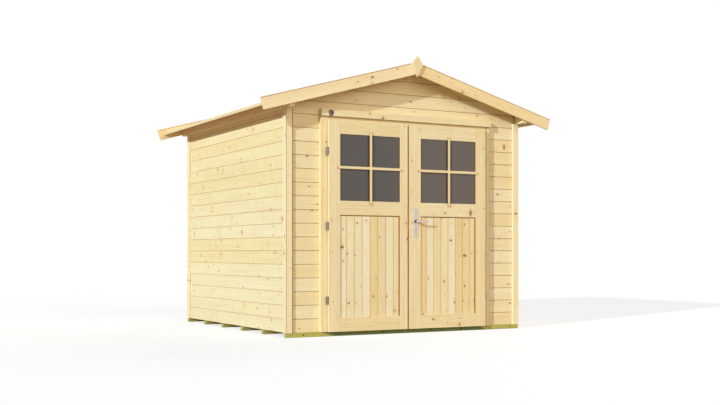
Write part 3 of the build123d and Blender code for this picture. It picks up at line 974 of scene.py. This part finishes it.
def make_roof_boards(tree, woods):
    """Roof boards from ridge to eaves, with their joints on the underside."""
    for side_name, side, run, seed in (("left", -1, SLOPE_LEFT, 51), ("right", 1, SLOPE_RIGHT, 53)):
        node = "roof_" + side_name
        low, high = corners(node)
        face = Vector(slope_under(side))
        set_back = BOARD_THICKNESS * math.tan(ROOF_PITCH)
        length = abs(low.x if side < 0 else high.x) / math.cos(ROOF_PITCH) - set_back
        start = Vector((0, 0, high.z)) + run * set_back + face * BOARD_THICKNESS
        start.y = low.y if run.cross(-face).y > 0 else high.y
        row = board_row(start, run, face, length, high.y - low.y, woods[node], seed, Cover=ROOF_BOARD_COVER)
        dress("roof_boards_" + side_name, tree, [row], "shed", "roof_boards", node)


def make_floor_boards(tree, woods):
    """Floor boards across the joists, shortened beside the corner posts."""
    low, high = corners("floor")
    post_x = -corners("post_front_left")[1].x
    post_y = corners("post_back_left")[0].y
    front = corners("door_jambs")[1].y
    rows = [
        board_row(
            Vector((x1, y0, high.z)), BACK, UP, y1 - y0, x1 - x0, woods["side"], seed,
            Cover=FLOOR_BOARD_COVER, Thickness=high.z - low.z,
            Joint_Width=FLOOR_JOINT_WIDTH, Joint_Depth=FLOOR_JOINT_DEPTH)
        for x0, x1, y0, y1, seed in (
            (-post_x, post_x, front, high.y, 61),
            (low.x, -post_x, -post_y, post_y, 62),
            (post_x, high.x, -post_y, post_y, 63))]
    dress("floor_boards", tree, rows, "shed", "floor_boards", "floor")


def make_panels(tree, woods):
    """Upright boards in the lower half of each leaf."""
    for side, seed in (("left", 71), ("right", 83)):
        node = side + "_leaf_panel"
        low, high = corners(node)
        width = high.x - low.x
        half = math.ceil(width / 2 / PANEL_BOARD_COVER) * PANEL_BOARD_COVER
        row = board_row(
            Vector((high.x, low.y, low.z)), UP, -BACK, high.z - low.z, width, woods["panel"], seed,
            Cover=PANEL_BOARD_COVER, First_Board=width / 2 - half, Thickness=high.y - low.y,
            Joint_Width=PANEL_JOINT_WIDTH, Joint_Depth=PANEL_JOINT_DEPTH)
        dress(node + "_boards", tree, [row], side + "_door", "spruce", node)


# Timbers with eased edges

def timbers_in(shape):
    """Faces of each separate timber in a node."""
    for face in shape.faces:
        face.tag = False
    groups = []
    for first in shape.faces:
        if first.tag:
            continue
        first.tag = True
        group = [first]
        for face in group:
            for edge in face.edges:
                for other in edge.link_faces:
                    if not other.tag:
                        other.tag = True
                        group.append(other)
        groups.append(group)
    return groups


def ease_timbers(node, easing, slot_used, woods_used):
    """Piece with the node's timbers, their arrises eased, each with its own grain and tone.

    woods_used has one timber for pieces that run in X, in Y and in Z."""
    shape = bmesh.new()
    shape.from_mesh(frame["nodes"][node].data)
    bmesh.ops.remove_doubles(shape, verts=shape.verts, dist=WELD)
    bmesh.ops.dissolve_limit(shape, angle_limit=FLAT_ANGLE, verts=shape.verts, edges=shape.edges)
    arrises = [
        edge for edge in shape.edges
        if edge.is_manifold and edge.calc_face_angle_signed() > ARRIS_ANGLE]
    bmesh.ops.bevel(
        shape, geom=arrises, offset=easing, segments=2, profile=0.5, affect="EDGES", clamp_overlap=True)
    tones = shape.verts.layers.float.new("tone")
    shifts = shape.verts.layers.float_vector.new("shift")
    draw = random.Random(node)
    for faces in timbers_in(shape):
        tone = draw.random()
        shift = Vector((draw.uniform(0, 9), draw.uniform(0, 9), draw.uniform(0, 9)))
        points = {vert for face in faces for vert in face.verts}
        spans = []
        for axis in range(3):
            places = [vert.co[axis] for vert in points]
            spans.append(max(places) - min(places))
        for vert in points:
            vert[tones] = tone
            vert[shifts] = shift
        for face in faces:
            face.material_index = spans.index(max(spans))
    mesh = bpy.data.meshes.new(node + "_timber")
    shape.to_mesh(mesh)
    shape.free()
    for wood in woods_used:
        mesh.materials.append(wood)
    body = next(name for name, nodes in BODIES.items() if node in nodes)
    hand_over(node + "_timber", mesh, body, slot_used, node)


def make_timbers(woods):
    """Posts, frame, leaves, purlins, barge boards and joists."""
    plain = ("rail", "purlin", "upright")
    for names, easing, kinds in (
        ("post_front_left post_front_right post_back_left post_back_right", POST_EASE, ("post",) * 3),
        ("door_jambs door_head door_sill", EASE, plain),
        ("door_drip_board", EASE, ("drip",) * 3),
        ("ridge_purlin eave_purlins", EASE, plain),
        ("eave_battens", EASE, ("batten",) * 3),
        ("apex_boards", EASE, ("upright",) * 3),
        ("barge_boards_left", BARGE_EASE, ("barge_left",) * 3),
        ("barge_boards_right", BARGE_EASE, ("barge_right",) * 3),
        ("joists", JOIST_EASE, ("treated",) * 3),
        ("left_leaf_stiles left_leaf_rails", EASE, ("leaf_rail", "purlin", "leaf_upright")),
        ("right_leaf_stiles right_leaf_rails", EASE, ("leaf_rail", "purlin", "leaf_upright")),
        ("left_leaf_bars right_leaf_bars", EASE, ("bar",) * 3),
    ):
        for node in names.split():
            slot_used = "treated_timber" if node == "joists" else "spruce"
            ease_timbers(node, easing, slot_used, [woods[kind] for kind in kinds])


# Shapes from points and faces

def new_mesh(name, points, faces, material):
    """Mesh of points and faces with one material."""
    mesh = bpy.data.meshes.new(name)
    mesh.from_pydata(points, [], faces)
    mesh.materials.append(material)
    return mesh


def finish_piece(name, mesh, body, slot_used, *nodes, smooth=True):
    """Piece for a mesh that is already in place."""
    mesh.validate()
    for face in mesh.polygons:
        face.use_smooth = smooth
    hand_over(name, mesh, body, slot_used, *nodes)


def turned(angle, reach):
    """Point on a circle in X and Z."""
    return Vector((reach * math.cos(angle), 0, reach * math.sin(angle)))


def prism(outline, first_y, second_y):
    """Points and faces of an outline in X and Z, anticlockwise from the front, between two depths."""
    count = len(outline)
    points = [(x, y, z) for y in sorted((first_y, second_y)) for x, z in outline]
    faces = [tuple(range(count)), tuple(reversed(range(count, 2 * count)))]
    for step in range(count):
        after = (step + 1) % count
        faces.append((step, step + count, after + count, after))
    return points, faces


def shade_strip_piece(name, strips, face_y, wood, body):
    """Piece of strips of painted shade, each given by its ends in X and in Z, on a face that looks forwards.
    """
    points = []
    faces = []
    for x0, x1, z0, z1 in strips:
        outline = ((x0, z0), (x1, z0), (x1, z1), (x0, z1))
        strip_points, strip_faces = prism(outline, face_y - BEAD_PROUD, face_y)
        faces += [tuple(len(points) + number for number in face) for face in strip_faces]
        points += strip_points
    finish_piece(name, new_mesh(name, points, faces, wood), body, "spruce", smooth=False)


def make_shade_strips(woods):
    """Strips of painted shade beside the bars, the panes, the panels, the door frame and the front left
    post.
    """
    for side in ("left", "right"):
        body = side + "_door"
        glass_low, glass_high = corners(side + "_leaf_glass")
        panel_low, panel_high = corners(side + "_leaf_panel")
        bar_left = (glass_low.x + glass_high.x) / 2 - BAR_HALF_WIDTH
        right = glass_high.x - REBATE
        pane_rise = (glass_low.z + REBATE, glass_high.z - REBATE)
        bottom, top = panel_low.z + REBATE, panel_high.z - REBATE
        # Painted shade left of the vertical bar, along the panes' right edges, and along the panels' right
        # and top edges
        panes = ((bar_left - BAR_BEAD, bar_left, *pane_rise), (right - PANE_BEAD, right, *pane_rise))
        panels = (
            (right - PANEL_BEAD, right, bottom, top),
            (panel_low.x + REBATE, right - PANEL_BEAD, top - PANEL_TOP_BEAD, top),
        )
        shade_strip_piece(side + "_leaf_glazing_shade_strips", panes, glass_low.y, woods["glazing_bead"], body)
        shade_strip_piece(side + "_leaf_panel_shade_strips", panels, panel_low.y, woods["bead"], body)

    frame_low, frame_high = corners("door_jambs")
    post_low, post_high = corners("post_front_left")
    wall_low, wall_high = corners("front_wall_left")
    frame_rise = (frame_low.z, frame_high.z)
    post_rise = (post_low.z, wall_high.z)
    # Painted shade beside the right leaf on the jamb, right of the frame on the wall, right of the front
    # left post and down its front corner
    for name, start, width, rise, face_y, wood in (
        ("door_jamb_shade_strip", corners("right_leaf_stiles")[1].x + JAMB_BEAD_INSET, JAMB_BEAD,
         frame_rise, frame_low.y, "shaded_bead"),
        ("door_frame_shade_strip", frame_high.x + FRAME_BEAD_INSET, FRAME_BEAD,
         frame_rise, wall_low.y, "shaded_bead"),
        ("post_wall_shade_strip", post_high.x + POST_BEAD_INSET, POST_BEAD, post_rise, wall_low.y, "bead"),
        ("post_corner_shade_strip", post_low.x + POST_EASE, POST_BEAD, post_rise, post_low.y, "shaded_bead"),
    ):
        shade_strip_piece(name, ((start, start + width, *rise),), face_y, woods[wood], "shed")


def make_drip_board_knot():
    """Large sound knot, slightly domed and not quite round, with its rim sunk in the board."""
    rings = KNOT_RINGS
    turns = KNOT_TURNS
    points = [KNOT_MIDDLE - BACK * KNOT_DOME]
    faces = []
    for ring in range(1, rings + 1):
        share = ring / rings
        dome = KNOT_DOME * (1 - share ** 3) - (KNOT_SUNK_RIM if ring == rings else 0.0)
        for turn in range(turns):
            angle = math.tau * turn / turns
            waver = 1 + 0.025 * math.sin(3 * angle + 0.6) + 0.015 * math.sin(7 * angle)
            points.append(KNOT_MIDDLE + turned(angle, KNOT_RADIUS * share * waver) - BACK * dome)
    for turn in range(turns):
        after = (turn + 1) % turns
        faces.append((0, 1 + turn, 1 + after))
        for ring in range(rings - 1):
            inner = 1 + ring * turns
            outer = inner + turns
            faces.append((inner + turn, outer + turn, outer + after, inner + after))
    rim = 1 + (rings - 1) * turns
    faces.append(tuple(reversed(range(rim, rim + turns))))
    mesh = new_mesh("drip_board_knot", points, faces, dark_knot())
    finish_piece("drip_board_knot", mesh, "shed", "spruce")


# Lever handle

def ring_spline(data, points):
    """Closed straight-sided outline in a flat curve."""
    spline = data.splines.new("POLY")
    spline.points.add(len(points) - 1)
    for point, (x, y) in zip(spline.points, points):
        point.co = (x, y, 0, 1)
    spline.use_cyclic_u = True


def arc(centre_y, radius, start, end, steps):
    """Points of an arc between two angles in degrees, with its middle on the upright axis."""
    angles = [math.radians(start + (end - start) * step / steps) for step in range(steps + 1)]
    return [(radius * math.cos(angle), centre_y + radius * math.sin(angle)) for angle in angles]


def flat_plate(outlines, material):
    """Mesh of a plate with eased edges, from its outline and the outlines of its holes."""
    data = bpy.data.curves.new("handle_plate_outline", "CURVE")
    data.dimensions = "2D"
    data.fill_mode = "BOTH"
    data.extrude = PLATE_THICKNESS / 2 - PLATE_EDGE
    data.bevel_depth = PLATE_EDGE
    data.bevel_resolution = 2
    for outline in outlines:
        ring_spline(data, outline)
    mesh = evaluated_mesh(new_object("handle_plate_outline", data))
    mesh.materials.clear()
    mesh.materials.append(material)
    return mesh


def lever_axis():
    """Middle of the spindle."""
    low, high = corners("lever_spindle")
    return (low + high) / 2


def make_handle_plates(metal, collar_metal, dark):
    """Long rounded plate on each face of the leaf, with a keyhole under the lever."""
    low, high = corners("handle_plates")
    axis = lever_axis()
    end_radius = (high.x - low.x) / 2 - PLATE_EDGE
    top = high.z - PLATE_EDGE - end_radius - axis.z
    bottom = low.z + PLATE_EDGE + end_radius - axis.z
    slot_angle = math.degrees(math.asin(KEYHOLE_SLOT_HALF / KEYHOLE_RADIUS))
    keyhole = arc(-KEYHOLE_DROP, KEYHOLE_RADIUS, -90 + slot_angle, 270 - slot_angle, KEYHOLE_STEPS)
    slot_end = -KEYHOLE_DROP - KEYHOLE_LENGTH
    keyhole += [(-KEYHOLE_SLOT_HALF, slot_end), (KEYHOLE_SLOT_HALF, slot_end)]
    outlines = (
        arc(top, end_radius, 0, 180, PLATE_END_STEPS) + arc(bottom, end_radius, 180, 360, PLATE_END_STEPS),
        arc(0, SPINDLE_HOLE_RADIUS + PLATE_EDGE, 0, 360 - 360 / HOLE_TURNS, HOLE_TURNS - 1),
        keyhole)
    wider, longer = KEYHOLE_SPREAD
    key_z = axis.z - KEYHOLE_DROP
    backing = [(axis.x + x * wider, key_z + (z + KEYHOLE_DROP) * longer) for x, z in keyhole]
    upright = Matrix.Rotation(math.radians(90), 4, "X")
    for side, face_y, outward in (("outer", low.y, -1), ("inner", high.y, 1)):
        mesh = flat_plate(outlines, metal)
        middle_y = face_y - outward * PLATE_THICKNESS / 2
        mesh.transform(Matrix.Translation((axis.x, middle_y, axis.z)) @ upright)
        finish_piece("handle_plate_" + side, mesh, "right_door", "handle_metal", "handle_plates")
        # Painted shade: a thin dark sheet behind the keyhole stands for the shade inside the lock
        back_y = face_y - outward * (PLATE_THICKNESS - KEYHOLE_CLEARANCE)
        hole = new_mesh("keyhole_" + side, *prism(backing, back_y, back_y - outward * KEYHOLE_SHEET), dark)
        finish_piece("keyhole_" + side, hole, "right_door", "handle_metal", smooth=False)
        collar = turned_ring(Vector((axis.x, face_y, axis.z)), outward, COLLAR_PROFILE, collar_metal)
        finish_piece("handle_collar_" + side, collar, "right_door", "handle_metal")


def turned_ring(middle, outward, profile, material):
    """Ring turned about a line in Y, from (radius, height) points."""
    count = len(profile)
    points = []
    faces = []
    for turn in range(COLLAR_TURNS):
        angle = math.tau * turn / COLLAR_TURNS
        points += [middle + turned(angle, radius) + BACK * (outward * height) for radius, height in profile]
        here = turn * count
        there = (turn + 1) % COLLAR_TURNS * count
        for step in range(count):
            further = (step + 1) % count
            face = (here + step, here + further, there + further, there + step)
            faces.append(face if outward > 0 else tuple(reversed(face)))
    return new_mesh("turned_ring", points, faces, material)


def smooth_rows(rows, steps):
    """Rows of numbers with smooth steps between them."""
    filled = [rows[0], *rows, rows[-1]]
    result = []
    for before, first, second, after in zip(filled, filled[1:], filled[2:], filled[3:]):
        for step in range(steps):
            t = step / steps
            result.append([
                0.5 * (2 * b + (c - a) * t + (2 * a - 5 * b + 4 * c - d) * t * t
                       + (3 * b - a - 3 * c + d) * t ** 3)
                for a, b, c, d in zip(before, first, second, after)])
    result.append(list(rows[-1]))
    return result


def squared(part):
    """Part of a unit circle drawn out towards a square."""
    return math.copysign(abs(part) ** LEVER_SQUARENESS, part)


def make_levers(metal):
    """Round neck that sweeps into a flattened, slightly bowed grip."""
    axis = lever_axis()
    turns = LEVER_TURNS
    rows = smooth_rows(LEVER_ROWS, LEVER_STEPS)
    for node, outward in (("lever_outer", -1), ("lever_inner", 1)):
        low, high = corners(node)
        leaf_y = high.y if outward < 0 else low.y
        centres = [Vector((axis.x + row[0], leaf_y + outward * row[1], axis.z)) for row in rows]
        points = []
        faces = []
        for number, row in enumerate(rows):
            before = centres[max(number - 1, 0)]
            after = centres[min(number + 1, len(rows) - 1)]
            out = (after - before).normalized().cross(UP).normalized()
            here = number * turns
            for turn in range(turns):
                angle = math.tau * turn / turns
                across = out * (squared(math.cos(angle)) * row[3])
                points.append(centres[number] + across + UP * (squared(math.sin(angle)) * row[2]))
                if number < len(rows) - 1:
                    further = here + (turn + 1) % turns
                    faces.append((here + turn, further, further + turns, here + turn + turns))
        faces.append(tuple(reversed(range(turns))))
        faces.append(tuple(range(len(points) - turns, len(points))))
        mesh = new_mesh(node + "_swept", points, faces, metal)
        shape = bmesh.new()
        shape.from_mesh(mesh)
        bmesh.ops.recalc_face_normals(shape, faces=shape.faces)
        shape.to_mesh(mesh)
        shape.free()
        finish_piece(node + "_swept", mesh, "lever", "handle_metal", node)


# Screws

def make_screws(zinc, satin, blackened, coppered, dark):
    """Screws of the joists, the hinges and the handle plates, and the pins of the glazing bars."""
    tree = make_screw_row()

    def row(first, step, count, outward, radius, steel):
        turn = outward.to_track_quat("Z", "Y").to_euler()
        return {
            "First": tuple(first), "Step": tuple(step), "Count": count, "Turn": tuple(turn),
            "Head Radius": radius, "Steel": steel, "Recess": dark}

    low, high = corners("joists")
    middle = (low.z + high.z) / 2
    rows = [
        row((first * outward.y, face_y, middle), RIGHT * (step * outward.y), 2, outward, JOIST_SCREW_RADIUS,
            blackened)
        for face_y, outward in ((low.y, -BACK), (high.y, BACK)) for first, step in JOIST_SCREWS]
    dress("joist_screws", tree, rows, "shed", "hinge_steel")

    for side, sign in (("left", -1), ("right", 1)):
        low, high = corners(side + "_leaf_bars")
        glass_low, glass_high = corners(side + "_leaf_glass")
        across = (glass_low.x + glass_high.x) / 2
        level = (low.z + high.z) / 2
        in_x = RIGHT * (high.x - low.x - 2 * PIN_INSET)
        in_z = UP * (high.z - low.z - 2 * PIN_INSET)
        rows = [
            row((low.x + PIN_INSET, low.y, level), in_x, 2, -BACK, PIN_RADIUS, coppered),
            row((across, low.y, low.z + PIN_INSET), in_z, 2, -BACK, PIN_RADIUS, coppered)]
        dress(side + "_bar_pins", tree, rows, side + "_door", "hinge_steel")

        low, high = corners("frame_hinges_" + side)
        screw_x = (low.x if sign < 0 else high.x) - sign * FLAP_SCREW_INSET
        flap_y = corners("door_jambs")[0].y - FLAP_THICKNESS
        rows = [
            row((screw_x, flap_y, hinge_level - HINGE_SCREW_REACH), UP * HINGE_SCREW_REACH, 3, -BACK,
                FLAP_SCREW_RADIUS, zinc)
            for hinge_level in HINGE_LEVELS]
        dress(side + "_hinge_screws", tree, rows, "shed", "hinge_steel")

    low, high = corners("handle_plates")
    middle = (low.x + high.x) / 2
    span = UP * (high.z - low.z - 2 * PLATE_SCREW_INSET)
    rows = [
        row((middle, face_y, low.z + PLATE_SCREW_INSET), span, 2, outward, PLATE_SCREW_RADIUS, satin)
        for face_y, outward in ((low.y, -BACK), (high.y, BACK))]
    dress("handle_plate_screws", tree, rows, "right_door", "handle_metal")


SCENE.view_settings.view_transform = "Standard"
make_camera()
make_world()
make_floor_sheet()
make_lights()
woods = make_woods(make_timber_figure())
zinc_steel = plain_metal("zinc_hinges", (0.34, 0.27, 0.215), 0.45, (40, 40, 40))
satin_metal = plain_metal("satin_handle", (0.72, 0.645, 0.585), 0.32, (900, 900, 30))
blackened_steel = plain_metal("blackened_screws", (0.035, 0.032, 0.028), 0.55, (300, 300, 300))
coppered_steel = plain_metal("coppered_pins", (0.42, 0.20, 0.09), 0.5, (300, 300, 300))
recess_dark = plain_dark("recess_painted_shade")
finish_nodes(zinc_steel, satin_metal)
make_timbers(woods)
make_shade_strips(woods)
make_drip_board_knot()
make_handle_plates(satin_metal, blackened_steel, recess_dark)
make_levers(satin_metal)
make_screws(zinc_steel, satin_metal, blackened_steel, coppered_steel, recess_dark)
row_tree = make_board_row()
make_wall_boards(row_tree, woods)
make_roof_boards(row_tree, woods)
make_floor_boards(row_tree, woods)
make_panels(row_tree, woods)
